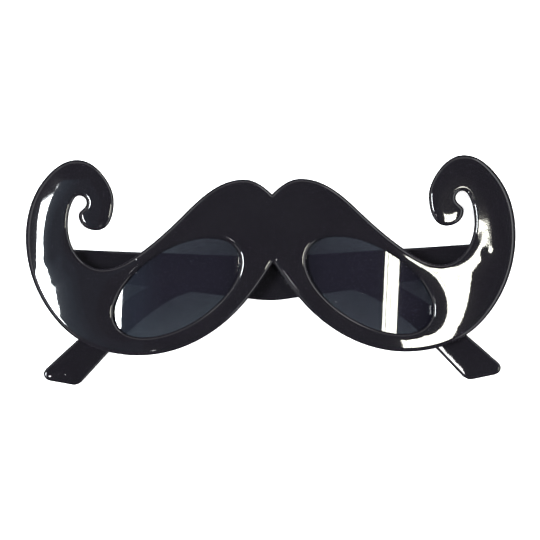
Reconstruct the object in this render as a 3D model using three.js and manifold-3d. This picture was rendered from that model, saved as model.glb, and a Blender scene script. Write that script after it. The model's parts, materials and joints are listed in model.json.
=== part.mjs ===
// Moustache disguise glasses, folded and lying on their temples.
// Millimetres. The front looks up along +Z, +Y runs from the nose to the brow, +X to the right.
// The front is drawn with the middle of its back at the origin, and the whole is set down at the end.

import * as THREE from 'three';
import Module from 'manifold-3d';
import { mergeVertices } from 'three/addons/utils/BufferGeometryUtils.js';
import { TessellateModifier } from 'three/addons/modifiers/TessellateModifier.js';

const wasm = await Module();
wasm.setup();

// Front plate
const FRONT_THICKNESS = 4;
const FRONT_EDGE_RADIUS = 1.3; // under the bend at the tip of the curl
const FRONT_EDGE_STEPS = 3;
const CURVE_STEPS = 6; // chords to each stretch between two knots
const WRAP_RADIUS = 450; // bend of the front round the face

// Lenses
const LENS_SPACING = 64.2; // from centre to centre
const LENS_HALF_LENGTH = 23.5; // of the clear opening
const LENS_HALF_HEIGHT = 12.5;
const LENS_TILT = 31.4; // degrees, outer end down
const LENS_CHORDS = 48;
const LENS_THICKNESS = 1;
const LENS_BEND_RADIUS = 100; // tighter than the front's, so that a lens bows forward in its middle
const LENS_LAP = 0.9; // how far the lens reaches behind the rim
const LENS_CLEARANCE = 0.3;
const LENS_INSET = 0.1; // from the back of the front

// Temples
const TEMPLE_THICKNESS = 3;
const TEMPLE_EDGE_RADIUS = 0.8;
const TEMPLE_EDGE_STEPS = 2;
const TEMPLE_INNER_FACE = 0.7; // from the pin to the face that lies against the front
const INNER_FOLD = 1.4; // degrees that the left temple, folded first, tilts towards the front
const OUTER_FOLD = 1.5; // degrees that the right temple, folded over it, tilts away

// Hinges
const HINGE_SPACING = 141; // from pin to pin
const HINGE_HEIGHT = 9; // the middle of the hinge above the lens centres
const HINGE_DROP = 3.4; // from the back of the front to the pin
const KNUCKLE_RADIUS = 2.2;
const PIN_RADIUS = 0.7;
const PIN_CLEARANCE = 0.3;
const PIN_SHORT = 0.2; // how far each end of the pin lies inside its ear
const TONGUE_HEIGHT = 4.6;
const EAR_HEIGHT = 2.2;
const EAR_GAP = 0.3;
const EAR_ROOT = { inner: 3, outer: 4, depth: 5 }; // foot of an ear, from the pin
const SHOULDER = 2.6; // where the full height of the temple starts, from the pin
const ROUND_CHORDS = 20;
const CUT_PAST = 1; // how far a cut runs out of the piece

// Longest triangle side on a bent plate, and the passes that split every longer one
const WRAP_STEP = 13;
const LENS_STEP = 9;
const WRAP_PASSES = 12;
const WELD = 1e-4;

// Right half of the moustache, from the notch at the top round to the nose arch.
// heading is the direction of travel in degrees, anticlockwise from +X.
const MOUSTACHE = [
  { x: 0, y: 30.6, heading: 45 }, // notch
  { x: 9.5, y: 35.7, heading: 0 }, // lobe
  { x: 28.5, y: 25.1, heading: -44.5 },
  { x: 43.2, y: 12.3, heading: -36 },
  { x: 56.3, y: 6.6, heading: 0 }, // bottom of the gap under the curl
  { x: 67.7, y: 21, heading: 90 }, // inner side of the stem
  { x: 66.4, y: 28.3, heading: 113 },
  { x: 63.8, y: 31, heading: 180 }, // eye of the curl
  { x: 61.4, y: 28.6, heading: 270 },
  { x: 62.9, y: 26.3, heading: 320 },
  { x: 64.1, y: 24.5, heading: 270 }, // tip of the curl
  { x: 58.3, y: 19.35, heading: 180 },
  { x: 52.4, y: 29, heading: 90 }, // inner side of the curl
  { x: 55.4, y: 37.2, heading: 55 },
  { x: 64.5, y: 42.95, heading: 0 }, // top of the curl
  { x: 75.4, y: 36.4, heading: -51 },
  { x: 81.7, y: 16.9, heading: -90 }, // outermost point
  { x: 70, y: -12.4, heading: -134 },
  { x: 44.5, y: -22.3, heading: -180 }, // bottom under the lens
  { x: 15.7, y: -11.2, heading: -220 },
  { x: 0, y: 7.8, heading: -236 }, // nose arch
];

// Left temple, folded: along its top to the ear hook and back along its underside
const TEMPLE = [
  { x: -HINGE_SPACING / 2 + SHOULDER, y: 13.3, heading: -3 },
  { x: 5, y: 9.45, heading: -3 },
  { x: 43, y: -0.8, heading: -29 },
  { x: 58, y: -11, heading: -41 },
  { x: 74.2, y: -25.3, heading: -42 },
  { x: 76.2, y: -28.1, heading: -90 }, // tip of the hook
  { x: 73.8, y: -30.5, heading: -170 },
  { x: 66.4, y: -31.9, heading: -170 },
  { x: 62.8, y: -30.2, heading: -227 },
  { x: 54.5, y: -21.3, heading: -227 },
  { x: 43, y: -10.4, heading: -218 },
  { x: 33, y: -3.7, heading: -206 },
  { x: 24, y: -1.2, heading: -180 }, // where the ear sits
  { x: 0, y: -4.65, heading: -180 }, // widest part
  { x: -9, y: -3.75, heading: -187.5 },
  { x: -HINGE_SPACING / 2 + SHOULDER, y: 4, heading: -187.5 },
];

const LEFT = -1;
const RIGHT = 1;
const radians = THREE.MathUtils.degToRad;

// The depth of the front's back at a distance from its middle
const backDepth = (x) => -(x ** 2) / (2 * WRAP_RADIUS);

// How far a lens reaches to either side of its own centre, and how far its middle stands forward of its ends
const LENS_REACH = Math.hypot(
  (LENS_HALF_LENGTH + LENS_LAP) * Math.cos(radians(LENS_TILT)),
  (LENS_HALF_HEIGHT + LENS_LAP) * Math.sin(radians(LENS_TILT)),
);
const lensBow = (offset) => ((LENS_REACH ** 2 - offset ** 2) / 2) * (1 / LENS_BEND_RADIUS - 1 / WRAP_RADIUS);

// The same depth for a lens and its seat, which meet the back of the front at the lens's two ends
const lensDepth = (side) => (x) => backDepth(x) + lensBow(x - (side * LENS_SPACING) / 2);

// Carries a path on through knots. Each stretch is a cubic whose handles follow an arc of the same turn.
function curveThrough(path, knots) {
  for (let i = 1; i < knots.length; i += 1) {
    const a = knots[i - 1];
    const b = knots[i];
    const turn = radians(THREE.MathUtils.euclideanModulo(b.heading - a.heading + 180, 360) - 180);
    const handle = Math.hypot(b.x - a.x, b.y - a.y) / (3 * Math.cos(turn / 4) ** 2);
    path.bezierCurveTo(
      a.x + handle * Math.cos(radians(a.heading)),
      a.y + handle * Math.sin(radians(a.heading)),
      b.x - handle * Math.cos(radians(b.heading)),
      b.y - handle * Math.sin(radians(b.heading)),
      b.x,
      b.y,
    );
  }
  return path;
}

// The same knots on the other side of the middle, in the opposite order
const mirrored = (knots) => knots.map(({ x, y, heading }) => ({ x: -x, y, heading: -heading })).reverse();

// The edge of a lens, or of its opening or seat, a margin outside the clear opening
function lensEdge(side, margin) {
  return new THREE.EllipseCurve(
    (side * LENS_SPACING) / 2,
    0,
    LENS_HALF_LENGTH + margin,
    LENS_HALF_HEIGHT + margin,
    0,
    2 * Math.PI,
    false,
    radians(-side * LENS_TILT),
  ).getPoints(LENS_CHORDS).slice(0, LENS_CHORDS);
}

// A plate of the shape from height 0 upwards, with its outline at full size between rounded edges
function roundedPlate(shape, thickness, radius, steps) {
  const plate = new THREE.ExtrudeGeometry(shape, {
    depth: thickness - 2 * radius,
    curveSegments: CURVE_STEPS,
    bevelThickness: radius,
    bevelSize: radius,
    bevelOffset: -radius,
    bevelSegments: steps,
  });
  return plate.translate(0, 0, radius);
}

function flatPlate(points, low, high) {
  const shape = new THREE.Shape(points);
  return new THREE.ExtrudeGeometry(shape, { depth: high - low, bevelEnabled: false }).translate(0, 0, low);
}

// Only places are kept, so that corners shared by triangles become one
function bare(geometry) {
  geometry.deleteAttribute('normal');
  geometry.deleteAttribute('uv');
  return geometry;
}

// Bends a flat plate to a depth at each distance from the middle, without moving its outline
function bent(geometry, depthAt, step) {
  const fine = new TessellateModifier(step, WRAP_PASSES).modify(bare(geometry));
  const place = fine.attributes.position;
  for (let i = 0; i < place.count; i += 1) {
    place.setZ(i, place.getZ(i) + depthAt(place.getX(i)));
  }
  return fine;
}

function solid(geometry) {
  const merged = mergeVertices(bare(geometry), WELD);
  return new wasm.Manifold(new wasm.Mesh({
    numProp: 3,
    vertProperties: new Float32Array(merged.attributes.position.array),
    triVerts: new Uint32Array(merged.index.array),
  }));
}

function part(name, body, look) {
  const { vertProperties, triVerts } = body.getMesh();
  const geometry = new THREE.BufferGeometry();
  geometry.setAttribute('position', new THREE.BufferAttribute(vertProperties, 3));
  geometry.setIndex(new THREE.BufferAttribute(triVerts, 1));
  geometry.computeVertexNormals();
  const mesh = new THREE.Mesh(geometry, new THREE.MeshStandardMaterial(look));
  mesh.name = name;
  return mesh;
}

// The pin's place on the front
const hingePlace = (side) => new THREE.Vector3(
  (side * HINGE_SPACING) / 2,
  HINGE_HEIGHT,
  backDepth(HINGE_SPACING / 2) - HINGE_DROP,
);

// A round bar along Y, centred on the origin
const roundBar = (radius, height) => new THREE.CylinderGeometry(radius, radius, height, ROUND_CHORDS);

const HINGE_REACH = TONGUE_HEIGHT + 2 * (EAR_GAP + EAR_HEIGHT);

// The two ears of a hinge: round at the pin, widening to a foot in the front
function hingeEars(side) {
  const outline = new THREE.Shape();
  outline.moveTo(-side * EAR_ROOT.inner, EAR_ROOT.depth);
  outline.lineTo(-side * KNUCKLE_RADIUS, 0);
  outline.absarc(0, 0, KNUCKLE_RADIUS, side > 0 ? Math.PI : 0, side > 0 ? 2 * Math.PI : -Math.PI, side < 0);
  outline.lineTo(side * EAR_ROOT.outer, EAR_ROOT.depth);
  const place = hingePlace(side);
  return [-1, 1].map((end) => {
    const ear = new THREE.ExtrudeGeometry(outline, { depth: EAR_HEIGHT, bevelEnabled: false });
    const middle = (end * (HINGE_REACH - EAR_HEIGHT)) / 2;
    ear.translate(0, 0, -EAR_HEIGHT / 2);
    ear.rotateX(Math.PI / 2);
    ear.translate(place.x, place.y + middle, place.z);
    return solid(ear);
  });
}

const pinHole = (height) => roundBar(PIN_RADIUS + PIN_CLEARANCE, height + 2 * CUT_PAST);

function frontFrame() {
  const start = MOUSTACHE[0];
  const outline = new THREE.Shape().moveTo(start.x, start.y);
  curveThrough(outline, MOUSTACHE);
  curveThrough(outline, mirrored(MOUSTACHE));
  outline.holes = [LEFT, RIGHT].map((side) => new THREE.Path(lensEdge(side, 0)));
  const plate = roundedPlate(outline, FRONT_THICKNESS, FRONT_EDGE_RADIUS, FRONT_EDGE_STEPS);
  let front = solid(bent(plate, backDepth, WRAP_STEP));
  const seatFloor = -CUT_PAST - lensBow(0);
  const seatTop = LENS_INSET + LENS_THICKNESS + LENS_CLEARANCE;
  for (const side of [LEFT, RIGHT]) {
    const seat = flatPlate(lensEdge(side, LENS_LAP + LENS_CLEARANCE), seatFloor, seatTop);
    front = front.subtract(solid(bent(seat, lensDepth(side), LENS_STEP)));
    for (const ear of hingeEars(side)) {
      front = front.add(ear);
    }
    const { x, y, z } = hingePlace(side);
    front = front.subtract(solid(pinHole(HINGE_REACH).translate(x, y, z)));
  }
  return front;
}

function lens(side) {
  const sheet = flatPlate(lensEdge(side, LENS_LAP), LENS_INSET, LENS_INSET + LENS_THICKNESS);
  return solid(bent(sheet, lensDepth(side), LENS_STEP));
}

function hingePin(side) {
  const { x, y, z } = hingePlace(side);
  return solid(roundBar(PIN_RADIUS, HINGE_REACH - 2 * PIN_SHORT).translate(x, y, z));
}

// A temple as it is folded, measured from its pin
function temple(side) {
  const knots = side === LEFT ? TEMPLE : mirrored(TEMPLE);
  const outline = curveThrough(new THREE.Shape().moveTo(knots[0].x, knots[0].y), knots);
  const arm = roundedPlate(outline, TEMPLE_THICKNESS, TEMPLE_EDGE_RADIUS, TEMPLE_EDGE_STEPS);
  arm.translate((-side * HINGE_SPACING) / 2, -HINGE_HEIGHT, TEMPLE_INNER_FACE - TEMPLE_THICKNESS);
  const neckLength = 2 * SHOULDER;
  const neck = new THREE.BoxGeometry(neckLength, TONGUE_HEIGHT, TEMPLE_THICKNESS - 2 * TEMPLE_EDGE_RADIUS);
  neck.translate((-side * neckLength) / 2, 0, TEMPLE_INNER_FACE - TEMPLE_THICKNESS / 2);
  return solid(arm)
    .add(solid(neck))
    .add(solid(roundBar(KNUCKLE_RADIUS, TONGUE_HEIGHT)))
    .subtract(solid(pinHole(TONGUE_HEIGHT)));
}

// A temple's turning point, tilted as far as the other temple lets it fold
function hinge(side, mesh) {
  const group = new THREE.Group();
  group.position.copy(hingePlace(side));
  group.rotation.y = radians(side === LEFT ? -INNER_FOLD : -OUTER_FOLD);
  group.add(mesh);
  return group;
}

const BLACK_GLOSS = { color: 0x262429, roughness: 0.12, metalness: 0 };
const SMOKE = { color: 0x30333a, roughness: 0.06, metalness: 0 };
const STEEL = { color: 0x8c8c90, roughness: 0.35, metalness: 1 };

const glasses = new THREE.Group();
glasses.add(part('front_frame', frontFrame(), BLACK_GLOSS));
for (const [side, word] of [[LEFT, 'left'], [RIGHT, 'right']]) {
  glasses.add(part(`lens_${word}`, lens(side), SMOKE));
  glasses.add(part(`hinge_pin_${word}`, hingePin(side), STEEL));
  glasses.add(hinge(side, part(`temple_${word}`, temple(side), BLACK_GLOSS)));
}

// Set down so that the outer face of the right temple lies flat on the surface, centred over the origin
glasses.rotation.y = radians(OUTER_FOLD);
glasses.updateMatrixWorld(true);
const reach = new THREE.Box3().setFromObject(glasses, true);
const middle = reach.getCenter(new THREE.Vector3());
glasses.position.set(-middle.x, -middle.y, -reach.min.z);

export default glasses;
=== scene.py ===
"""Looks of a pair of moustache disguise glasses that lie folded on a pale surface.

Drawings are in millimetres: +X to the right of someone facing the front, +Y from nose to brow, +Z the way
the front looks. The front is drawn with the middle of its back at the origin and then set into the frame.
"""

import json
import math
from collections import namedtuple

import bpy
import numpy as np
from mathutils import Matrix, Vector
from mathutils.geometry import delaunay_2d_cdt


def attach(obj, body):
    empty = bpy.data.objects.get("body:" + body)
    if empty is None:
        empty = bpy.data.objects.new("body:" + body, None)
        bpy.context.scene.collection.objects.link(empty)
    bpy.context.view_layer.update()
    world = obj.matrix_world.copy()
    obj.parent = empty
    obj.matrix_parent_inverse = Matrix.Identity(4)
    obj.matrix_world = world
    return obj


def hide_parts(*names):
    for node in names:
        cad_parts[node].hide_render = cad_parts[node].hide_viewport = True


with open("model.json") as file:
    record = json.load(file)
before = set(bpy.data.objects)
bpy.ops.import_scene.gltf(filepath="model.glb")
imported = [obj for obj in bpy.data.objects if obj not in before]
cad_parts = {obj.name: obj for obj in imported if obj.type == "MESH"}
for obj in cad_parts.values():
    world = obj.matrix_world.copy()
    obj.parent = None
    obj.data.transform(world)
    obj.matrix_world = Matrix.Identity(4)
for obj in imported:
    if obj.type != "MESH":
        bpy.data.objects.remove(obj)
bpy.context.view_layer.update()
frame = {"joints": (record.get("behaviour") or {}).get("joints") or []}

bl_info = {
    "name": "Moustache Disguise Glasses",
    "version": (1, 0, 0),
    "blender": (4, 5, 0),
    "location": "3D View > Sidebar > Glasses",
    "description": "Dresses folded moustache glasses in gloss and smoke and sets up a pale studio",
    "category": "Object",
}

MM = 0.001
LEFT, RIGHT = -1, 1
WORD = {LEFT: "left", RIGHT: "right"}

# Fineness of the meshes. Spacings are in millimetres.
CURVE_PARTS = 64  # of each cubic, before its path is divided evenly
LEAST_PARTS = 4  # of a path
EDGE_SPACING = 0.5  # along the edges of the front
EDGE_STEPS = 7  # of their roundings
SLOPE_SPACING = 0.25  # along the edges that slopes are measured from
TEMPLE_SPACING = 0.6  # along the outline of a temple
LENS_SPACING = 0.7  # along the outline of a lens
EAR_SPACING = 0.35  # along the outline of an ear
NECK_SPACING = 0.3  # along the outline of a neck
BORE_POINTS, KNUCKLE_POINTS, PIN_POINTS = 24, 36, 32  # round the circles of a hinge
KEEP_OFF = 0.6  # how near to its edge the points of a face come, in spacings
FLAT_START = 1.1  # where the flat before a rounding starts, in radii inside the outline
MERGE_DIGITS = 4  # points that agree in these digits of a millimetre are one
BATCH = 8000  # points measured at a time
CRISP, LENS_CRISP = 35.0, 50.0  # bends, in degrees, from which an edge stays crisp

# How a plate is finished: radius and steps of its quarter rounds, and spacing of the points of its faces
Trim = namedtuple("Trim", "radius steps spacing")
LENS_TRIM = Trim(0.15, 2, 0.8)
HINGE_TRIM = Trim(0.25, 3, 0.6)
NECK_TRIM = Trim(0.3, 3, 0.8)
PIN_TRIM = Trim(0.2, 3, 0.4)

# Right half of the moustache, in three stretches from the notch at the top round to the nose arch.
# heading: direction of travel in degrees, anticlockwise from +X.
# fall: how far the face sinks to that edge. reach: how far from the edge it starts to sink.
EdgeKnot = namedtuple("EdgeKnot", "x y heading fall reach")
BROW = (
    EdgeKnot(0, 30.6, 45, 0.2, 4),  # notch
    EdgeKnot(9.5, 35.7, 0, 0.25, 4),  # lobe
    EdgeKnot(28.5, 25.1, -44.5, 0.25, 4),
    EdgeKnot(43.2, 12.3, -36, 0.2, 4),
    EdgeKnot(56.3, 6.6, 0, 0.03, 2),  # bottom of the gap under the curl
)
CURL = (
    EdgeKnot(56.3, 6.6, 0, 0.03, 2),
    EdgeKnot(66.59, 14.73, 69.7, 0.19, 4),
    EdgeKnot(67.7, 21, 90, 0.0, 4),  # inner side of the stem
    EdgeKnot(67.6, 23.24, 95.2, 0.0, 3),
    EdgeKnot(67.28, 25.46, 101.8, 0.0, 2),
    EdgeKnot(66.4, 28.3, 113, 0.0, 2),
    EdgeKnot(63.8, 31, 180, 0.02, 2),  # eye
    EdgeKnot(61.4, 28.6, 270, 0.0, 2),
    EdgeKnot(62.9, 26.3, 320, 0.15, 3),
    EdgeKnot(64.1, 24.5, 270, 0.15, 3),  # tip
    EdgeKnot(58.3, 19.35, 180, 0.2, 4),
    EdgeKnot(52.4, 29, 90, 0.25, 4),  # inner side of the curl
    EdgeKnot(55.4, 37.2, 55, 0.3, 6),
    EdgeKnot(64.5, 42.95, 0, 0.55, 9),  # top of the curl
)
FLANK = (
    EdgeKnot(64.5, 42.95, 0, 0.55, 9),
    EdgeKnot(75.4, 36.4, -51, 1.06, 9.4),
    EdgeKnot(81.7, 16.9, -90, 1.06, 8),  # outermost point
    EdgeKnot(81.15, 10.00, -99.2, 0.9, 8),
    EdgeKnot(79.40, 3.00, -108.9, 1.0, 12.5),
    EdgeKnot(77.79, -1.00, -114.8, 1.0, 14),
    EdgeKnot(75.67, -5.00, -121.0, 0.82, 13),
    EdgeKnot(70, -12.4, -134, 0.42, 10),
    EdgeKnot(62.58, -18.00, -151.7, 0.25, 6),
    EdgeKnot(44.5, -22.3, -180, 0.08, 3),  # bottom under the lens
    EdgeKnot(15.7, -11.2, -220, 0.2, 4),
    EdgeKnot(0, 7.8, -236, 0.2, 4),  # nose arch
)
MOUSTACHE = (*BROW, *CURL[1:], *FLANK[1:])

# Left temple, folded: along its top to the ear hook, back along its underside and up its shoulder
Knot = namedtuple("Knot", "x y heading")
TEMPLE = (
    Knot(-66.9, 13.25, -3),
    Knot(5, 9.45, -3),
    Knot(43, -0.8, -29),
    Knot(58, -11, -41),
    Knot(74.2, -25.3, -42),
    Knot(76.2, -28.1, -90),  # tip of the hook
    Knot(73.8, -30.5, -170),
    Knot(66.4, -31.9, -170),
    Knot(62.8, -30.2, -227),
    Knot(54.5, -21.3, -227),
    Knot(43, -10.4, -218),
    Knot(33, -3.7, -206),
    Knot(24, -1.2, -180),  # where the ear sits
    Knot(0, -4.65, -180),  # widest part
    Knot(-9, -3.75, -187.5),
    Knot(-66.9, 3.87, -187.5),
    Knot(-67.9, 5, -270),  # shoulder
    Knot(-67.9, 12.25, -270),
    Knot(-66.9, 13.25, -363),
)

# Profile of an ear, across the front and along its depth, from the pin. across is away from the nose.
EarKnot = namedtuple("EarKnot", "across depth heading")
EAR = (
    EarKnot(-2.6, 5, 0),
    EarKnot(3.6, 5, 0),
    EarKnot(3.9, 4.6, -110),
    EarKnot(2.2, 0, -90),
    EarKnot(0, -2.2, -180),  # under the pin
    EarKnot(-2.2, 0, -270),
    EarKnot(-2.95, 4.6, -262),
    EarKnot(-2.6, 5, -360),
)


def length(name, description, millimetres):
    return bpy.props.FloatProperty(
        name=name, description=description, default=millimetres * MM, min=0.0, unit="LENGTH", precision=5
    )


def place(name, description, millimetres):
    return bpy.props.FloatVectorProperty(
        name=name,
        description=description,
        default=[value * MM for value in millimetres],
        size=3,
        subtype="XYZ",
        unit="LENGTH",
        precision=5,
    )


def angle(name, description, degrees):
    return bpy.props.FloatProperty(
        name=name, description=description, default=math.radians(degrees), subtype="ANGLE"
    )


def number(name, description, value):
    return bpy.props.FloatProperty(name=name, description=description, default=value, precision=4)


def colour(name, description, value):
    return bpy.props.FloatVectorProperty(
        name=name, description=description, default=value, size=3, subtype="COLOR", min=0.0, max=1.0
    )


class FrontSizes(bpy.types.PropertyGroup):
    thickness: length("Thickness", "Of the plate", 4.0)
    edge_radius: length("Edge radius", "Rounding of the outer edge", 1.3)
    rim_radius: length("Rim radius", "Rounding of the lens openings", 1.2)
    wrap_radius: length("Wrap radius", "Bend of the front round the face", 450.0)
    brow_radius: length("Brow radius", "Bend of the front from nose to brow", 900.0)
    rim_fall: length("Rim fall", "How far the face sinks towards a lens", 0.24)
    rim_reach: length("Rim reach", "How far from a lens the face starts to sink", 2.6)
    rim_reach_end: length("Outer rim reach", "The same at a lens's outer end", 6.5)
    rim_turn: angle("Outer rim turn", "Of that end, up from level", 10.0)
    swell: length("Swell", "Height of the low ridge in the face across each lens's middle", 0.35)
    swell_reach: length("Swell reach", "Half width of that ridge", 6.0)
    swell_place: length("Swell place", "From the middle of the front to that ridge", 40.0)
    swell_top: length("Swell top", "Height above the lens centres where that ridge starts to die away", 8.0)
    swell_fade: length("Swell fade", "Height over which it dies away", 8.0)
    sink_depth: length("Sink depth", "Of the faint hollow in the face over each hinge", 0.055)
    sink_radius: length("Sink radius", "Of that hollow", 1.4)
    sink_aside: length("Sink aside", "From the pin outwards to the middle of that hollow", 1.7)
    sink_above: length("Sink above", "From the middle of the pin up to the middle of that hollow", 1.0)
    spacing: length("Spacing", "Between points of the face", 0.7)


class LensSizes(bpy.types.PropertyGroup):
    spacing: length("Spacing", "From lens centre to lens centre", 64.2)
    half_length: length("Half length", "Of the clear opening", 23.5)
    half_height: length("Half height", "Of the clear opening", 12.5)
    tilt: angle("Tilt", "Outer end down", 31.4)
    thickness: length("Thickness", "Of the sheet", 1.0)
    bend_radius: length("Bend radius", "Bend of each lens about its own middle", 99.0)
    skew: angle("Skew", "Turn of the lenses' bend, in their own plane", 4.5)
    lap: length("Lap", "How far the lens reaches behind the rim", 0.9)
    clearance: length("Clearance", "Between the lens and its seat", 0.3)
    inset: length("Inset", "From the back of the front", 0.1)


class TempleSizes(bpy.types.PropertyGroup):
    thickness: length("Thickness", "Of the side arms", 3.0)
    edge_radius: length("Edge radius", "Rounding of the arms' edges", 0.8)
    inner_face: length("Inner face", "From the pin to the face that lies against the front", 0.7)
    inner_fold: angle("Inner fold", "Tilt of the arm folded first, towards the front", 1.4)
    crown: length("Crown", "How far an arm's face sinks to its edges", 0.41)
    crown_reach: length("Crown reach", "How far from an edge it starts to sink", 6.0)


class HingeSizes(bpy.types.PropertyGroup):
    spacing: length("Spacing", "From pin to pin", 141.0)
    height: length("Height", "Of the hinge above the lens centres", 9.0)
    drop: length("Drop", "From the back of the front to the pin", 3.4)
    knuckle_radius: length("Knuckle radius", "Of the tongue round the pin", 2.2)
    pin_radius: length("Pin radius", "Of the steel pin", 0.7)
    pin_clearance: length("Pin clearance", "Between the pin and its bore", 0.3)
    pin_inset: length("Pin inset", "From the outer face of an ear to the end of the pin", 0.2)
    tongue_height: length("Tongue height", "Of the temple's tongue between the ears", 4.6)
    ear_height: length("Ear height", "Of each ear along the pin", 2.2)
    ear_gap: length("Ear gap", "Between the tongue and an ear", 0.3)
    neck_start: length("Neck start", "From the pin to the near end of a tongue's neck", 1.5)
    neck_end: length("Neck end", "From the pin to the far end of that neck", 5.2)
    neck_bend: length("Neck bend", "Rounding of that neck's corners", 0.5)
    neck_inset: length("Neck inset", "From the faces of the arm to those of that neck", 0.35)


class Finishes(bpy.types.PropertyGroup):
    black: colour("Black", "The moulding's colour", (0.0043, 0.0037, 0.0054))
    black_worn: colour("Worn black", "Where the gloss is a little paler", (0.0065, 0.006, 0.0076))
    wave_height: length("Wave height", "Of the faint waves in the polish", 0.02)
    dust: colour("Dust", "Specks on the gloss", (0.55, 0.55, 0.55))
    smoke: colour("Smoke", "The lenses' colour", (0.0058, 0.0054, 0.0088))
    smoke_clear: number("Clearness", "Share of light that passes straight through a lens's face", 0.18)
    smoke_tint: colour("Smoke tint", "Of the light that passes through a face", (0.83, 0.945, 1.0))
    steel: colour("Steel", "The pins' colour", (0.55, 0.55, 0.56))


class StageSetup(bpy.types.PropertyGroup):
    distance: length("Camera distance", "From the middle of the glasses", 2500.0)
    width: length("Picture width", "What the square picture spans at that distance", 179.3)
    aim: place("Camera aim", "The point in the middle of the picture", (-0.73, 0.0, 12.0))
    lean: angle("Camera lean", "Off the upright, towards the left side", 2.0)
    roll: angle("Camera roll", "Turn of the picture, right side up", 0.774)
    panel_distance: length("Panel distance", "From the glasses to each studio panel", 10000.0)
    air: colour("Air", "Light from all round", (0.085, 0.088, 0.10))
    paper: colour("Paper", "The surface's colour", (0.86, 0.86, 0.86))
    # Reach of the ambient occlusion that paints shade into the paper's glow
    shade_reach: length("Shade reach", "How near a thing has to be to shade the paper", 60.0)


class GlassesSettings(bpy.types.PropertyGroup):
    front: bpy.props.PointerProperty(type=FrontSizes)
    lens: bpy.props.PointerProperty(type=LensSizes)
    temple: bpy.props.PointerProperty(type=TempleSizes)
    hinge: bpy.props.PointerProperty(type=HingeSizes)
    finish: bpy.props.PointerProperty(type=Finishes)
    stage: bpy.props.PointerProperty(type=StageSetup)


def settings():
    return bpy.context.scene.moustache_glasses


# Outlines

Loop = namedtuple("Loop", "points outward")


def curve_through(knots, spacing):
    """Points, headings and further columns along a path through knots, about spacing apart.

    Between two knots runs a cubic. Its handles follow the knots' headings and are
    chord / (3 cos^2(turn / 4)) long, as for an arc that turns as far. The path is then divided evenly by
    its length.
    """
    table = np.array(knots, float)
    heading = np.radians(table[:, 2])
    turn = (np.diff(heading) + np.pi) % (2 * np.pi) - np.pi
    place = table[:, :2]
    handle = np.linalg.norm(np.diff(place, axis=0), axis=1) / (3 * np.cos(turn / 4) ** 2)
    way = np.stack([np.cos(heading), np.sin(heading)], 1)
    a, d = place[:-1, None], place[1:, None]
    b = a + (handle[:, None] * way[:-1])[:, None]
    c = d - (handle[:, None] * way[1:])[:, None]
    t = np.linspace(0, 1, CURVE_PARTS + 1)[None, :, None]
    point = (1 - t) ** 3 * a + 3 * (1 - t) ** 2 * t * b + 3 * (1 - t) * t**2 * c + t**3 * d
    pace = (1 - t) ** 2 * (b - a) + 2 * (1 - t) * t * (c - b) + t**2 * (d - c)
    extra = (1 - t) * table[:-1, None, 3:] + t * table[1:, None, 3:]
    point, pace, extra = (np.concatenate(each) for each in (point, pace, extra))
    run = np.concatenate([[0], np.cumsum(np.linalg.norm(np.diff(point, axis=0), axis=1))])
    even = np.linspace(0, run[-1], max(LEAST_PARTS, int(round(run[-1] / spacing))) + 1)
    facing = np.unwrap(np.arctan2(pace[:, 1], pace[:, 0]))
    rows = [np.interp(even, run, row) for row in (*point.T, facing, *extra.T)]
    return np.stack(rows[:2], 1), rows[2], rows[3:]


def mirrored(knots):
    """The same knots on the other side of the middle, in the opposite order."""
    return tuple(k._replace(**{k._fields[0]: -k[0], "heading": -k.heading}) for k in reversed(knots))


def left_of(heading):
    """Unit vectors a quarter turn to the left of each heading."""
    return np.stack([-np.sin(heading), np.cos(heading)], 1)


def closed_loop(knots, spacing):
    """A smooth closed outline, clockwise, whose last knot repeats the first."""
    points, heading, _ = curve_through(knots, spacing)
    return Loop(points[:-1], left_of(heading)[:-1])


def moustache_loop(spacing, fan=9):
    """The whole outline, clockwise.

    At the notch and the nose arch, which are inward corners, the point stays while its outward direction
    swings round in fan steps, so that lines offset from the outline run round the corner in an arc.
    """
    points, outward = [], []
    halves = [curve_through(knots, spacing) for knots in (MOUSTACHE, mirrored(MOUSTACHE))]
    for (point, heading, _), (_, following, _) in zip(halves, reversed(halves)):
        swing = (following[0] - heading[-1] + np.pi) % (2 * np.pi) - np.pi
        corner = heading[-1] + np.linspace(0, swing, fan)[1:-1]
        points += [point, np.repeat(point[-1:], fan - 2, 0)]
        outward += [left_of(heading), left_of(corner)]
    return Loop(np.concatenate(points), np.concatenate(outward))


def ellipse_loop(side, margin, spacing, hole):
    """A lens outline a margin outside the clear opening.

    It runs anticlockwise as a hole and clockwise as a piece.
    """
    lens = settings().lens
    tilt = -side * lens.tilt
    half = np.array([lens.half_length / MM, lens.half_height / MM]) + margin
    count = int(round(2 * np.pi * math.sqrt((half**2).mean()) / spacing))
    t = np.arange(count) * 2 * np.pi / count * (1 if hole else -1)
    turn = np.array([[math.cos(tilt), math.sin(tilt)], [-math.sin(tilt), math.cos(tilt)]])
    ring = np.stack([np.cos(t), np.sin(t)], 1)
    away = ring / half
    away /= np.linalg.norm(away, axis=1)[:, None]
    centre = np.array([side * lens.spacing / 2 / MM, 0])
    return Loop(ring * half @ turn + centre, (-away if hole else away) @ turn)


def circle_loop(radius, count, hole):
    """A circle about the origin, in count points: anticlockwise as a hole, clockwise as a piece."""
    t = np.arange(count) * 2 * np.pi / count * (1 if hole else -1)
    ring = np.stack([np.cos(t), np.sin(t)], 1)
    return Loop(ring * radius, -ring if hole else ring)


# Surfaces


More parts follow.
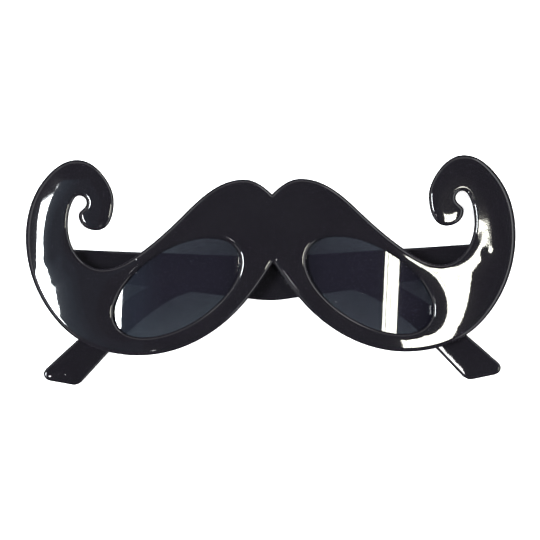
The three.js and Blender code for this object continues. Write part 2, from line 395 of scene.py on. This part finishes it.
class Shell:
    """Points and triangles of one piece, gathered as arrays."""

    def __init__(self):
        self.points, self.triangles, self.count = [], [], 0

    def add(self, points):
        """Takes points of any grid shape and returns their numbers in the same shape."""
        flat = np.asarray(points, float).reshape(-1, 3)
        numbers = np.arange(self.count, self.count + len(flat)).reshape(np.shape(points)[:-1])
        self.points.append(flat)
        self.count += len(flat)
        return numbers

    def grid(self, rows):
        """Two triangles for each cell of rows of closed rings. Their outer side is on the rings' left."""
        a, b = rows[:-1], rows[1:]
        a_next, b_next = np.roll(a, -1, 1), np.roll(b, -1, 1)
        cells = np.stack([a, a_next, b_next, a, b_next, b], -1)
        self.triangles.append(cells.reshape(-1, 3))

    def faces(self, triangles):
        self.triangles.append(triangles)

    def join(self, other, place=None):
        """Adds another shell, moved by a 4 x 4 matrix."""
        points, triangles = np.concatenate(other.points), np.concatenate(other.triangles)
        if place is not None:
            points = points @ np.array(place)[:3, :3].T + np.array(place)[:3, 3]
        self.triangles.append(triangles + self.count)
        self.points.append(points)
        self.count += len(points)

    def object(self, name, material, place, crisp=CRISP):
        """The finished object.

        Equal points are merged, triangles that this flattens are dropped, and wide bends stay crisp.
        """
        points, triangles = np.concatenate(self.points), np.concatenate(self.triangles)
        near = np.round(points, MERGE_DIGITS)
        _, first, same = np.unique(near, axis=0, return_index=True, return_inverse=True)
        triangles = same.reshape(-1)[triangles]
        points = points[first] @ np.array(place)[:3, :3].T + np.array(place)[:3, 3]
        keep = (triangles != np.roll(triangles, 1, 1)).all(1)
        mesh = bpy.data.meshes.new(name)
        mesh.from_pydata((points * MM).tolist(), [], triangles[keep].tolist())
        mesh.validate()
        mesh.shade_smooth()
        mesh.set_sharp_from_angle(angle=math.radians(crisp))
        mesh.materials.append(material)
        made = bpy.data.objects.new(name, mesh)
        bpy.context.scene.collection.objects.link(made)
        return made

    def piece(self, name, material, body, slot, nodes, place, crisp=CRISP):
        """The finished object as a piece of the glasses, in place of its plain solids."""
        made = self.object(name, material, place, crisp)
        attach(made, body)
        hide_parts(*nodes)
        return made


def inside(points, loops):
    """Which points lie inside the loops, by counting the edges that a ray towards +X crosses."""
    start = np.concatenate([loop.points for loop in loops])
    end = np.concatenate([np.roll(loop.points, -1, 0) for loop in loops])
    x, y = points[:, 0, None], points[:, 1, None]
    spans = (start[:, 1] > y) != (end[:, 1] > y)
    rise = np.where(end[:, 1] == start[:, 1], 1, end[:, 1] - start[:, 1])
    meets = start[:, 0] + (y - start[:, 1]) * (end[:, 0] - start[:, 0]) / rise
    return (spans & (x < meets)).sum(1) % 2 == 1


def fill(loops, spacing):
    """Points and triangles between closed loops: a lattice of equal triangles, fitted to the loops.

    Rows of the lattice are spacing * sqrt(3) / 2 apart and shifted by turns. Points nearer to a loop than
    KEEP_OFF spacings are left out, and the rest are joined with the loops by a constrained Delaunay
    triangulation.
    """
    rim = np.concatenate([loop.points for loop in loops])
    low, high = rim.min(0), rim.max(0)
    row = spacing * math.sqrt(3) / 2
    y, x = np.mgrid[low[1] : high[1] : row, low[0] : high[0] : spacing]
    x = x + (np.arange(len(x)) % 2)[:, None] * spacing / 2
    lattice = np.stack([x.ravel(), y.ravel()], 1)
    lattice = lattice[inside(lattice, loops)]
    apart = np.sqrt(((lattice[:, None].astype(np.float32) - rim.astype(np.float32)) ** 2).sum(-1).min(1))
    lattice = lattice[apart > KEEP_OFF * spacing]
    points = np.concatenate([rim, lattice])
    starts = np.cumsum([0] + [len(loop.points) for loop in loops])
    rings = [np.arange(a, b) for a, b in zip(starts[:-1], starts[1:])]
    edges = np.concatenate([np.stack([ring, np.roll(ring, -1)], 1) for ring in rings])
    spots = [Vector(point) for point in points.tolist()]
    made, _, faces, origin, _, _ = delaunay_2d_cdt(spots, edges.tolist(), [], 0, 1e-6)
    source = np.array([numbers[0] for numbers in origin])
    triangles = source[np.array(faces)]
    middle = points[triangles].mean(1)
    triangles = triangles[inside(middle, loops)]
    a, b, c = (points[triangles[:, k]] for k in range(3))
    turned = np.cross(b - a, c - a) < 0
    triangles[turned] = triangles[turned][:, ::-1]
    return points, triangles


def at(points, height):
    """Points of a plane lifted to a height each."""
    return np.concatenate([points, np.broadcast_to(height, points.shape[:-1])[..., None]], -1)


def rounding(radius, steps):
    """A quarter round in steps, after a narrow flat: distances inside the outline and below the face."""
    bend = np.linspace(0, np.pi / 2, steps + 1)
    inset = np.concatenate([[FLAT_START * radius], radius * (1 - np.sin(bend))])
    return inset, np.concatenate([[0.0], radius * (1 - np.cos(bend))])


def offset(loop, inset):
    """The loop carried inwards, one ring for each inset."""
    return loop.points - inset[:, None, None] * loop.outward


def plate(loops, top, bottom, trim):
    """A plate between two height functions, with quarter rounds along every edge, above and below."""
    shell = Shell()
    inset, fall = rounding(trim.radius, trim.steps)
    cores = [Loop(offset(loop, inset[:1])[0], loop.outward) for loop in loops]
    points, triangles = fill(cores, trim.spacing)
    shell.faces(shell.add(at(points, top(points)))[triangles])
    shell.faces(shell.add(at(points, bottom(points)))[triangles[:, ::-1]])
    for loop in loops:
        rings = offset(loop, inset)
        upper = at(rings, top(rings) - fall[:, None])
        lower = at(rings, bottom(rings) + fall[:, None])
        shell.grid(shell.add(np.concatenate([upper, lower[::-1]])))
    return shell


def flat(height):
    return lambda points: np.full(points.shape[:-1], float(height))


Slope = namedtuple("Slope", "points outward spacing fall reach")


def slope_along(knots):
    """A stretch of the moustache's edge, with the fall and reach of the face beside it."""
    points, heading, (fall, reach) = curve_through(knots, SLOPE_SPACING)
    return Slope(points, left_of(heading), SLOPE_SPACING, fall, reach)


def slope_round(loop, fall, reach):
    """The same for a closed loop, with one fall all round and a reach at each point."""
    spacing = np.linalg.norm(loop.points[1] - loop.points[0])
    return Slope(loop.points, loop.outward, spacing, np.full(len(loop.points), fall), reach)


def rim_slope(side, loop):
    """The slope round a lens. Its reach grows with the sixth power of the way to the outer end."""
    sizes = settings().front
    share = loop.points @ np.array([side * math.cos(sizes.rim_turn), math.sin(sizes.rim_turn)])
    share = (share - share.min()) / np.ptp(share)
    reach = sizes.rim_reach + (sizes.rim_reach_end - sizes.rim_reach) * share**6
    return slope_round(loop, sizes.rim_fall / MM, reach / MM)


def sinking(points, slopes):
    """How far a face has sunk at each point: for each edge in reach, fall * (1 - distance / reach)^2.

    The distance is taken square to the edge at the nearest of its points, and past its ends to that point.
    """
    flat_points = points.reshape(-1, 2)
    sunk = np.zeros(len(flat_points))
    for slope in slopes:
        near = np.zeros(len(flat_points), int)
        for part in np.array_split(np.arange(len(flat_points)), 1 + len(flat_points) // BATCH):
            gap = flat_points[part, None].astype(np.float32) - slope.points.astype(np.float32)
            near[part] = (gap[..., 0] ** 2 + gap[..., 1] ** 2).argmin(1)
        way = slope.points[near] - flat_points
        square = (way * slope.outward[near]).sum(1)
        aside = np.sqrt(np.maximum((way**2).sum(1) - square**2, 0)) - KEEP_OFF * slope.spacing
        distance = np.hypot(square, np.maximum(aside, 0))
        sunk += slope.fall[near] * np.clip(1 - distance / slope.reach[near], 0, 1) ** 2
    return sunk.reshape(points.shape[:-1])


def relief(points):
    """Unevenness that moulding leaves in the face: a ridge beside each lens and a hollow over each hinge.

    Both are bell curves of the distance: the ridge's across the front, and above the lens also up the brow,
    and the hollow's from a spot just outside the pin.
    """
    sizes, hinge = settings().front, settings().hinge
    across, up = np.abs(points[..., 0]) * MM, points[..., 1] * MM
    aside = (across - sizes.swell_place) / sizes.swell_reach
    above = (up - sizes.swell_top).clip(0) / sizes.swell_fade
    ridge = sizes.swell / MM * np.exp(-(aside**2 + above**2) / 2)
    aside = (across - hinge.spacing / 2 - sizes.sink_aside) / sizes.sink_radius
    above = (up - hinge.height - sizes.sink_above) / sizes.sink_radius
    hollow = sizes.sink_depth / MM * np.exp(-(aside**2 + above**2) / 2)
    return ridge - hollow


# Places


def back_depth(x, y=0.0):
    """Height of the front's back, on a parabola across the face and a flatter one from nose to brow."""
    front = settings().front
    return -(x**2) * MM / (2 * front.wrap_radius) - y**2 * MM / (2 * front.brow_radius)


def lens_depth(side, x, y):
    """Height of a lens's back: the front's, and a bow forward between the lens's ends, a little askew."""
    lens, front = settings().lens, settings().front
    half_length, half_height = lens.half_length + lens.lap, lens.half_height + lens.lap
    reach = math.hypot(half_length * math.cos(lens.tilt), half_height * math.sin(lens.tilt))
    offset_x = x - side * lens.spacing / 2 / MM - y * math.tan(lens.skew)
    bend = MM / lens.bend_radius - MM / front.wrap_radius
    return back_depth(x) + ((reach / MM) ** 2 - offset_x**2) / 2 * bend


def pin_place(side):
    """Where a pin is in the front's own drawing."""
    hinge = settings().hinge
    half = hinge.spacing / 2 / MM
    return Vector((side * half, hinge.height / MM, back_depth(half) - hinge.drop / MM))


def pin_in_frame(side):
    """Where the frame's joint puts that pin."""
    joint = next(j for j in frame["joints"] if j["child"] == WORD[side] + "_arm")
    return Vector(joint["pos_m"]) / MM


def front_tilt():
    """Turn about Y from the front's drawing into the frame, from the heights of the two pins."""
    across = pin_in_frame(RIGHT) - pin_in_frame(LEFT)
    return math.atan2(-across.z, across.x)


def front_place():
    """Matrix from the front's drawing into the frame."""
    turn = Matrix.Rotation(front_tilt(), 4, "Y")
    drawn = (pin_place(LEFT) + pin_place(RIGHT)) / 2
    return Matrix.Translation((pin_in_frame(LEFT) + pin_in_frame(RIGHT)) / 2 - turn @ drawn) @ turn


def temple_place(side):
    """Matrix from a temple's drawing, measured from its pin, into the frame."""
    tilt = front_tilt() - settings().temple.inner_fold if side == LEFT else 0.0
    return Matrix.Translation(pin_in_frame(side)) @ Matrix.Rotation(tilt, 4, "Y")


# Materials


class Wire:
    """A socket's value. Arithmetic on it adds Math nodes."""

    def __init__(self, look, socket):
        self.look, self.socket = look, socket

    def math(self, operation, *values):
        return self.look.node("ShaderNodeMath", {"operation": operation}, dict(enumerate(values)))

    def __add__(self, other):
        return self.math("ADD", self, other)

    def __mul__(self, other):
        return self.math("MULTIPLY", self, other)

    __radd__ = __add__
    __rmul__ = __mul__

    def below(self, limit):
        return self.math("LESS_THAN", self, limit)

    def above(self, limit):
        return self.math("GREATER_THAN", self, limit)


class Look:
    """A material and its nodes."""

    def __init__(self, name):
        self.material = bpy.data.materials.new(name)
        self.material.use_nodes = True
        self.tree = self.material.node_tree
        self.tree.nodes.clear()
        self.where = self.node("ShaderNodeTexCoord", {}, {}, "Object")

    def node(self, kind, options, inputs, output=0):
        """Adds a node: its options first, then the values or wires of its sockets, by name or number."""
        node = self.tree.nodes.new(kind)
        for key, value in options.items():
            setattr(node, key, value)
        for key, value in inputs.items():
            socket = node.inputs[key]
            if isinstance(value, Wire):
                self.tree.links.new(value.socket, socket)
            else:
                socket.default_value = value
        return Wire(self, node.outputs[output]) if node.outputs else None

    def noise(self, size, detail=2.0, **inputs):
        """Soft noise from 0 to 1 whose patches are about size millimetres wide."""
        values = {"Vector": self.where, "Scale": 1 / (size * MM), "Detail": detail, **inputs}
        return self.node("ShaderNodeTexNoise", {}, values)

    def specks(self, spacing=3.0, radius=0.055, bare=0.9):
        """1 on a few specks of dust, 0 elsewhere: one in each cell of the spacing, but for a bare share.

        The spacing is in millimetres and the radius in spacings.
        """
        cell = {"Vector": self.where, "Scale": 1 / (spacing * MM)}
        near = self.node("ShaderNodeTexVoronoi", {}, cell, "Distance")
        pick = self.node("ShaderNodeTexVoronoi", {}, cell, "Color")
        lot = self.node("ShaderNodeSeparateColor", {}, {"Color": pick}, "Red")
        return near.below(radius) * lot.above(bare)

    def mix(self, factor, a, b):
        """Colour a turning into colour b."""
        inputs = {"Factor": factor, 6: a, 7: b}
        return self.node("ShaderNodeMix", {"data_type": "RGBA"}, inputs, 2)

    def principled(self, **inputs):
        """A Principled surface. Names are the socket names with underscores."""
        values = {key.replace("_", " "): value for key, value in inputs.items()}
        return self.node("ShaderNodeBsdfPrincipled", {}, values)

    def finish(self, surface):
        """Ends in a surface and returns the finished material."""
        self.node("ShaderNodeOutputMaterial", {}, {"Surface": surface})
        return self.material


def solid(rgb, factor=1.0):
    """A socket's colour: rgb times a factor, at most white."""
    return (*(min(1.0, factor * value) for value in rgb), 1.0)


# Faint waves in the polish: width in millimetres, detail, and share of the waves' height
Wave = namedtuple("Wave", "width detail share")
WAVES = (Wave(7.0, 1.0, 0.75), Wave(1.2, 2.0, 0.08), Wave(0.45, 1.0, 0.1))


def gloss_black(name):
    """Polished black moulding: faintly uneven, a little smeared, with a few specks of dust."""
    finish = settings().finish
    look = Look(name)
    cloud = look.noise(size=14.0)
    smear = look.noise(size=3.0, detail=4.0)
    tone = look.mix(cloud, solid(finish.black), solid(finish.black_worn))
    waves = [look.noise(wave.width, wave.detail) * wave.share for wave in WAVES]
    swell = {"Distance": finish.wave_height, "Height": sum(waves[1:], waves[0])}
    bumps = look.node("ShaderNodeBump", {}, {"Strength": 1.0, **swell})
    surface = look.principled(
        Base_Color=look.mix(look.specks() * 0.8, tone, solid(finish.dust)),
        Roughness=0.018 + smear * 0.02,
        IOR=1.5,
        Coat_Weight=0.022,
        Coat_Roughness=0.2,
        Normal=bumps,
    )
    return look.finish(surface)


def smoke_sheet(name):
    """Dark see-through sheet with a faint blue cast and a breath of haze."""
    finish = settings().finish
    look = Look(name)
    haze = look.noise(size=9.0, detail=3.0)
    tone = look.mix(haze, solid(finish.smoke), solid(finish.smoke, factor=1.35))
    sheet = look.principled(
        Base_Color=look.mix(look.specks() * 0.6, tone, solid(finish.dust)),
        Roughness=0.02 + haze * 0.02,
        IOR=1.49,
    )
    clear = look.node("ShaderNodeBsdfTransparent", {}, {"Color": solid(finish.smoke_tint)})
    both = look.node("ShaderNodeMixShader", {}, {"Fac": finish.smoke_clear, 1: sheet, 2: clear})
    return look.finish(both)


def pin_steel(name):
    """Plain drawn wire, with fine scratches along its length."""
    finish = settings().finish
    look = Look(name)
    along = look.node("ShaderNodeMapping", {}, {"Vector": look.where, "Scale": (1.0, 0.1, 1.0)})
    scratch = look.noise(size=0.3, detail=3.0, Vector=along)
    wire = look.principled(
        Base_Color=look.mix(scratch, solid(finish.steel), solid(finish.steel, factor=0.75)),
        Metallic=1.0,
        Roughness=0.28 + scratch * 0.15,
    )
    return look.finish(wire)


def white_paper(name):
    """Matt white sweep with painted light: it glows as paper lit from all round does, and painted shade
    from ambient occlusion dims that glow under and near things.
    """
    look = Look(name)
    paper = settings().stage.paper
    fibre = look.noise(size=400.0)
    tone = look.mix(fibre, solid(paper), solid(paper, factor=1.03))
    reach = {"Distance": settings().stage.shade_reach}
    # Painted shade: ambient occlusion darkens the paper's painted glow where the glasses are near
    sky = look.node("ShaderNodeAmbientOcclusion", {"samples": 8}, reach, "AO")
    glow = look.mix(sky, solid((0.0, 0.0, 0.0)), tone)
    sheet = look.principled(
        Base_Color=tone,
        Roughness=1.0,
        Specular_IOR_Level=0.0,
        Emission_Color=glow,
        Emission_Strength=2.6,
    )
    return look.finish(sheet)


# Pieces


def ear(side):
    """One ear of a hinge, as a plate across the pin: round at the pin, widening to a foot in the front."""
    hinge = settings().hinge
    profile = closed_loop(EAR if side == RIGHT else mirrored(EAR), EAR_SPACING)
    half = hinge.ear_height / 2 / MM
    return plate([profile, bore_loop()], flat(half), flat(-half), HINGE_TRIM)


def bore_loop():
    """The hole for a pin."""
    hinge = settings().hinge
    return circle_loop((hinge.pin_radius + hinge.pin_clearance) / MM, BORE_POINTS, True)


def hinge_reach():
    """Length of a whole hinge along its pin, over both ears."""
    hinge = settings().hinge
    return (hinge.tongue_height + 2 * (hinge.ear_gap + hinge.ear_height)) / MM


class GLASSES_OT_front(bpy.types.Operator):
    """Makes the moustache front: domed face, rounded edges, rebated lens openings and hinge ears"""

    bl_idname = "glasses.front"
    bl_label = "Moustache Front"

    def execute(self, context):
        sizes, lens, hinge = settings().front, settings().lens, settings().hinge
        thickness, spacing = sizes.thickness / MM, sizes.spacing / MM
        outer = moustache_loop(EDGE_SPACING)
        openings = [ellipse_loop(side, 0.0, EDGE_SPACING, True) for side in (LEFT, RIGHT)]
        slopes = [slope_along(knots) for half in (BROW, CURL, FLANK) for knots in (half, mirrored(half))]
        slopes += [rim_slope(side, loop) for side, loop in zip((LEFT, RIGHT), openings)]

        def top(points):
            return bottom(points) + thickness - sinking(points, slopes) + relief(points)

        def bottom(points):
            return back_depth(points[..., 0], points[..., 1])

        shell = Shell()
        inset, fall = rounding(sizes.edge_radius / MM, EDGE_STEPS)
        rim_inset, rim_fall = rounding(sizes.rim_radius / MM, EDGE_STEPS)
        cores = [Loop(offset(outer, inset[:1])[0], outer.outward)]
        cores += [Loop(offset(loop, rim_inset[:1])[0], loop.outward) for loop in openings]
        points, triangles = fill(cores, spacing)
        shell.faces(shell.add(at(points, top(points)))[triangles])
        shell.faces(shell.add(at(points, bottom(points)))[triangles[:, ::-1]])
        rings = offset(outer, inset)
        upper = at(rings, top(rings) - fall[:, None])
        lower = at(rings, bottom(rings) + fall[:, None])
        shell.grid(shell.add(np.concatenate([upper, lower[::-1]])))
        for side, loop in zip((LEFT, RIGHT), openings):
            rings = offset(loop, rim_inset)
            upper = at(rings, top(rings) - rim_fall[:, None])
            shelf = (lens.inset + lens.thickness + lens.clearance) / MM
            step = rings[[-1, 0]]
            ledge = at(step, lens_depth(side, step[..., 0], step[..., 1]) + shelf)
            ledge[0, :, 2] = np.minimum(ledge[0, :, 2], upper[-1, :, 2])
            foot = at(rings[:1], bottom(rings[:1]))
            shell.grid(shell.add(np.concatenate([upper, ledge, foot])))
        for side in (LEFT, RIGHT):
            for end in (-1, 1):
                level = end * (hinge_reach() - hinge.ear_height / MM) / 2
                spot = pin_place(side) + Vector((0, level, 0))
                shell.join(ear(side), Matrix.Translation(spot) @ Matrix.Rotation(math.pi / 2, 4, "X"))
        black = gloss_black("black_gloss_front")
        shell.piece("moustache_front", black, "front", "black_gloss", ["front_frame"], front_place())
        return {"FINISHED"}


class GLASSES_OT_lenses(bpy.types.Operator):
    """Makes the two bent smoke lenses"""

    bl_idname = "glasses.lenses"
    bl_label = "Smoke Lenses"

    def execute(self, context):
        lens = settings().lens
        smoke = smoke_sheet("smoke_lens")
        for side in (LEFT, RIGHT):
            loop = ellipse_loop(side, lens.lap / MM, LENS_SPACING, False)

            def bottom(points):
                return lens_depth(side, points[..., 0], points[..., 1]) + lens.inset / MM

            def top(points):
                return bottom(points) + lens.thickness / MM

            shell = plate([loop], top, bottom, LENS_TRIM)
            name = "lens_" + WORD[side]
            shell.piece("smoke_" + name, smoke, "front", "smoke_lens", [name], front_place(), LENS_CRISP)
        return {"FINISHED"}


class GLASSES_OT_temples(bpy.types.Operator):
    """Makes the two side arms with their ear hooks and hinge tongues"""

    bl_idname = "glasses.temples"
    bl_label = "Side Arms"

    def execute(self, context):
        sizes, hinge = settings().temple, settings().hinge
        high = sizes.inner_face / MM
        low = high - sizes.thickness / MM
        black = gloss_black("black_gloss_arms")
        for side in (LEFT, RIGHT):
            knots = TEMPLE if side == LEFT else mirrored(TEMPLE)
            loop = closed_loop(knots, TEMPLE_SPACING)
            centre = np.array([side * hinge.spacing / 2 / MM, hinge.height / MM])
            loop = Loop(loop.points - centre, loop.outward)
            reach = np.full(len(loop.points), sizes.crown_reach / MM)
            slopes = [slope_round(loop, sizes.crown / MM, reach)]

            def top(points):
                return high - sinking(points, slopes)

            trim = Trim(sizes.edge_radius / MM, steps=5, spacing=1.1)
            shell = plate([loop], top, flat(low), trim)
            half = hinge.tongue_height / 2 / MM
            knuckle = circle_loop(hinge.knuckle_radius / MM, KNUCKLE_POINTS, False)
            barrel = plate([knuckle, bore_loop()], flat(half), flat(-half), HINGE_TRIM)
            shell.join(barrel, Matrix.Rotation(math.pi / 2, 4, "X"))
            inset = hinge.neck_inset / MM
            shell.join(plate([neck_loop(side)], flat(high - inset), flat(low + inset), NECK_TRIM))
            name = "temple_" + WORD[side]
            body = WORD[side] + "_arm"
            shell.piece("side_" + body, black, body, "black_gloss", [name], temple_place(side))
        return {"FINISHED"}


def neck_loop(side):
    """Outline of the neck between a knuckle and its temple: a rounded box clear of the bore."""
    hinge = settings().hinge
    left, right = sorted(-side * end / MM for end in (hinge.neck_start, hinge.neck_end))
    half, bend = hinge.tongue_height / 2 / MM, hinge.neck_bend / MM
    knots = (
        Knot(left + bend, half, 0),
        Knot(right - bend, half, 0),
        Knot(right, half - bend, -90),
        Knot(right, bend - half, -90),
        Knot(right - bend, -half, -180),
        Knot(left + bend, -half, -180),
        Knot(left, bend - half, -270),
        Knot(left, half - bend, -270),
        Knot(left + bend, half, -360),
    )
    return closed_loop(knots, NECK_SPACING)


class GLASSES_OT_pins(bpy.types.Operator):
    """Makes the two steel pins"""

    bl_idname = "glasses.pins"
    bl_label = "Hinge Pins"

    def execute(self, context):
        hinge = settings().hinge
        steel = pin_steel("pin_steel")
        half = hinge_reach() / 2 - hinge.pin_inset / MM
        rim = circle_loop(hinge.pin_radius / MM, PIN_POINTS, False)
        for side in (LEFT, RIGHT):
            bar = plate([rim], flat(half), flat(-half), PIN_TRIM)
            shell = Shell()
            shell.join(bar, Matrix.Translation(pin_place(side)) @ Matrix.Rotation(math.pi / 2, 4, "X"))
            name = "hinge_pin_" + WORD[side]
            shell.piece("steel_pin_" + WORD[side], steel, "front", "pin_steel", [name], front_place())
        return {"FINISHED"}


# Stage

# Studio panels. near and far: degrees off the upright, towards +X, of a panel's two sides.
# low and high: degrees off the upright, towards +Y, of its two ends.
# fade: degrees past its high end over which it dies away.
Panel = namedtuple("Panel", "name near far low high fade brightness tint")
COOL, BLUE = (0.92, 0.97, 1.0), (0.42, 0.75, 1.0)
WARM, WHITE = (1.0, 0.99, 0.87), (1.0, 1.0, 1.0)
PANELS = (
    Panel("strip_left", -24.6, -31.9, -9.5, 11.0, 0.0, 120.0, COOL),
    Panel("strip_left_top", -24.6, -31.9, 11.0, 11.8, 0.0, 12.0, COOL),
    Panel("glow_left_1", -21.8, -24.6, -12.0, 12.0, 0.0, 0.42, BLUE),
    Panel("glow_left_2", -19.0, -21.8, -12.0, 12.0, 0.0, 0.38, BLUE),
    Panel("glow_left_3", -16.2, -19.0, -12.0, 12.0, 0.0, 0.3, BLUE),
    Panel("glow_left_4", -13.4, -16.2, -12.0, 12.0, 0.0, 0.18, BLUE),
    Panel("glow_left_5", -10.6, -13.4, -12.0, 12.0, 0.0, 0.08, BLUE),
    Panel("box_right_inner", 19.7, 20.7, -9.0, 2.2, 0.9, 50.0, WARM),
    Panel("box_right_middle", 21.0, 22.4, -9.0, 2.2, 0.9, 50.0, WARM),
    Panel("box_right_outer", 22.6, 25.3, -9.0, 2.5, 0.8, 50.0, WARM),
    Panel("low_left", -7.0, -4.4, -10.2, -7.2, 0.0, 40.0, WHITE),
    Panel("wall_left", -50.0, -75.0, -45.0, 50.0, 0.0, 1.6, WHITE),
    Panel("wall_right", 50.0, 75.0, -45.0, 55.0, 0.0, 3.0, WHITE),
    Panel("wall_top", -40.0, 40.0, 45.0, 75.0, 0.0, 0.9, WHITE),
)
FADE_BANDS, FADE_START, FADE_POWER = 5, 0.6, 2.2

# The paper sweep, in metres: rings of its level middle, where it starts to bend, and the bend's radius
SWEEP_RINGS, SWEEP_LEVEL, SWEEP_BEND = (0.0, 0.5, 2.0), 4.0, 2.0
SWEEP_STEPS, SWEEP_POINTS = 12, 64  # rings of the bend, and points round each ring


class GLASSES_OT_stage(bpy.types.Operator):
    """Sets up the paper sweep, the studio panels and the camera"""

    bl_idname = "glasses.stage"
    bl_label = "Studio"

    def execute(self, context):
        stage = settings().stage
        scene = context.scene
        sweep(white_paper("white_paper"))
        for panel in PANELS:
            studio_panel(panel)
            for band in fading(panel):
                studio_panel(band)
        world = bpy.data.worlds.new("studio_air")
        world.use_nodes = True
        world.node_tree.nodes["Background"].inputs["Color"].default_value = solid(stage.air)
        scene.world = world
        scene.view_settings.view_transform = "Standard"
        scene.view_settings.look = "None"
        camera = bpy.data.cameras.new("camera")
        camera.lens = camera.sensor_width * stage.distance / stage.width
        eye = bpy.data.objects.new("camera", camera)
        scene.collection.objects.link(eye)
        turn = Matrix.Rotation(-stage.lean, 4, "Y") @ Matrix.Rotation(-stage.roll, 4, "Z")
        back = Matrix.Translation((0, 0, stage.distance))
        eye.matrix_world = Matrix.Translation(stage.aim) @ turn @ back
        scene.camera = eye
        return {"FINISHED"}


def sweep(material):
    """A round paper sweep: a level profile that bends up to a low wall, carried round a circle."""
    bend = np.linspace(0, np.pi / 2, SWEEP_STEPS)
    radius = np.concatenate([SWEEP_RINGS, SWEEP_LEVEL + SWEEP_BEND * np.sin(bend)])
    height = np.concatenate([np.zeros(len(SWEEP_RINGS)), SWEEP_BEND * (1 - np.cos(bend))])
    t = np.arange(SWEEP_POINTS) * 2 * np.pi / SWEEP_POINTS
    rows = at(radius[:, None, None] * np.stack([np.cos(t), np.sin(t)], 1), height[:, None])
    shell = Shell()
    shell.grid(shell.add(rows[:, ::-1] / MM))
    paper = shell.object("paper_sweep", material, Matrix.Identity(4))
    paper.visible_glossy = False


def fading(panel):
    """Bands past a panel's high end.

    At a share s of the way, FADE_START (1 - s)^FADE_POWER of the panel's brightness is left.
    """
    bands = FADE_BANDS if panel.fade else 0
    for band in range(bands):
        left = 1 - (band + 0.5) / bands
        low, high = (panel.high + panel.fade * end / bands for end in (band, band + 1))
        brightness = panel.brightness * FADE_START * left**FADE_POWER
        name = f"{panel.name}_fade_{band}"
        yield panel._replace(name=name, low=low, high=high, brightness=brightness)


def studio_panel(panel):
    """A soft panel that faces the glasses from afar. Its power is brightness times pi times its area."""
    distance = settings().stage.panel_distance
    across = 2 * distance * math.tan(math.radians(abs(panel.far - panel.near)) / 2)
    along = 2 * distance * math.tan(math.radians(panel.high - panel.low) / 2)
    light = bpy.data.lights.new(panel.name, "AREA")
    light.shape = "RECTANGLE"
    light.size, light.size_y = across, along
    light.energy = panel.brightness * math.pi * across * along
    light.color = panel.tint
    lamp = bpy.data.objects.new(panel.name, light)
    bpy.context.scene.collection.objects.link(lamp)
    aside = Matrix.Rotation(math.radians((panel.near + panel.far) / 2), 4, "Y")
    lift = Matrix.Rotation(-math.radians((panel.low + panel.high) / 2), 4, "X")
    lamp.matrix_world = aside @ lift @ Matrix.Translation((0, 0, distance))


class GLASSES_PT_panel(bpy.types.Panel):
    """Lists the pieces and their sizes"""

    bl_idname = "GLASSES_PT_panel"
    bl_label = "Moustache Glasses"
    bl_space_type = "VIEW_3D"
    bl_region_type = "UI"
    bl_category = "Glasses"

    def draw(self, context):
        sizes = context.scene.moustache_glasses
        for operator in OPERATORS:
            self.layout.operator(operator.bl_idname)
        for name in GlassesSettings.__annotations__:
            box = self.layout.box()
            box.label(text=name.capitalize())
            group = getattr(sizes, name)
            for key in group.__annotations__:
                box.prop(group, key)


GROUPS = (FrontSizes, LensSizes, TempleSizes, HingeSizes, Finishes, StageSetup, GlassesSettings)
OPERATORS = (GLASSES_OT_front, GLASSES_OT_lenses, GLASSES_OT_temples, GLASSES_OT_pins, GLASSES_OT_stage)


def register():
    for each in (*GROUPS, *OPERATORS, GLASSES_PT_panel):
        bpy.utils.register_class(each)
    bpy.types.Scene.moustache_glasses = bpy.props.PointerProperty(type=GlassesSettings)


def unregister():
    del bpy.types.Scene.moustache_glasses
    for each in reversed((*GROUPS, *OPERATORS, GLASSES_PT_panel)):
        bpy.utils.unregister_class(each)


def main():
    register()
    bpy.ops.glasses.front()
    bpy.ops.glasses.lenses()
    bpy.ops.glasses.temples()
    bpy.ops.glasses.pins()
    bpy.ops.glasses.stage()


if __name__ == "__main__":
    main()
